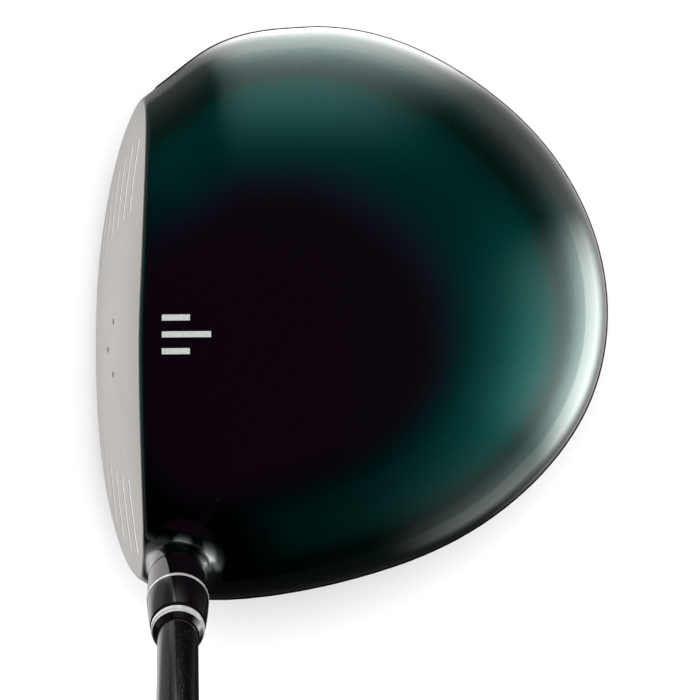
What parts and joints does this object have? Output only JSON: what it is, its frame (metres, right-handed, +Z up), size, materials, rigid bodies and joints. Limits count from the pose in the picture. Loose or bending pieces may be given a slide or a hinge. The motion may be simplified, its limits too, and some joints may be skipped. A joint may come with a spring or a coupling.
{
  "type": "golf driver",
  "caption": "Golf driver: hollow rounded head with a lofted face and green-black crown, adjustable hosel, tapered carbon shaft and rubber grip.",
  "frame": {"origin": "ground contact point at the flat of the sole, below the middle of the face, club in its address position", "axes": "+Z up; -Y towards the target (the face looks along -Y); -X towards the toe; the shaft leans up and towards +X, where a right-handed player stands"},
  "size_m": [0.7067, 0.1138, 0.9972],
  "materials": {
    "crown_paint": "gloss dark green metallic flake under clear coat",
    "body_paint": "gloss black skirt and sole",
    "face_titanium": "satin brushed titanium",
    "score_paint": "matt white paint fill",
    "dot_paint": "matt black paint fill",
    "silver_decal": "satin silver",
    "bare_titanium": "as-machined titanium",
    "badge_metal": "satin anodised, blank",
    "tungsten": "turned and bead-blasted",
    "screw_steel": "dark zinc-plated steel",
    "retainer_rubber": "black nitrile",
    "sleeve_black": "gloss black anodised",
    "ring_silver": "polished",
    "ferrule_black": "gloss black",
    "shaft_graphite": "gloss black over carbon with fine flake",
    "plug_plastic": "moulded nylon",
    "tape_paper": "double-sided paper tape",
    "grip_rubber": "matt textured rubber"
  },
  "bodies": {
    "shaft_assembly": {"shaft": "shaft_graphite", "adapter_sleeve": "sleeve_black", "collar_ring": "ring_silver", "ferrule": "ferrule_black", "ferrule_rings": "ring_silver", "tip_plug": "plug_plastic", "grip_tape": "tape_paper", "grip": "grip_rubber", "grip_cap": "grip_rubber"},
    "hosel_washer": {"screw_washer": "screw_steel"},
    "head": {"crown": "crown_paint", "alignment_mark": "silver_decal", "sole_body": "body_paint", "face_plate": "face_titanium", "toe_score_lines": "score_paint", "heel_score_lines": "score_paint", "face_dots": "dot_paint", "sole_badge": "badge_metal", "sole_ribs": "bare_titanium", "hosel_tube": "bare_titanium", "weight_port": "bare_titanium"},
    "hosel_fastener": {"hosel_screw": "screw_steel", "screw_retainer": "retainer_rubber"},
    "weight": {"weight_disc": "tungsten"},
    "weight_fastener": {"weight_screw": "screw_steel"}
  },
  "joints": [
    {"name": "head_draw", "type": "slide", "parent": "shaft_assembly", "child": "hosel_washer", "axis": [-0.5225, 0, -0.8526], "range_m": [0, 0.045]},
    {"name": "sleeve_index", "type": "hinge", "parent": "hosel_washer", "child": "head", "pos_m": [0.05035, -0.0029, 0.05443], "axis": [0.5225, 0, 0.8526], "continuous": true},
    {"name": "hosel_screw_turn", "type": "hinge", "parent": "hosel_washer", "child": "hosel_fastener", "pos_m": [0.03154, -0.0029, 0.02373], "axis": [-0.5225, 0, -0.8526], "range_deg": [0, 2520]},
    {"name": "weight_draw", "type": "slide", "parent": "head", "child": "weight", "axis": [0, 0.4226, -0.9063], "range_m": [0, 0.016]},
    {"name": "weight_screw_turn", "type": "hinge", "parent": "weight", "child": "weight_fastener", "pos_m": [-0.006, 0.07, 0.0098], "axis": [0, 0.4226, -0.9063], "range_deg": [0, 7200]}
  ],
  "couplings": [
    {"joint": "weight_screw_turn", "follows": "weight_draw", "rad_per_m": 7853.9}
  ]
}
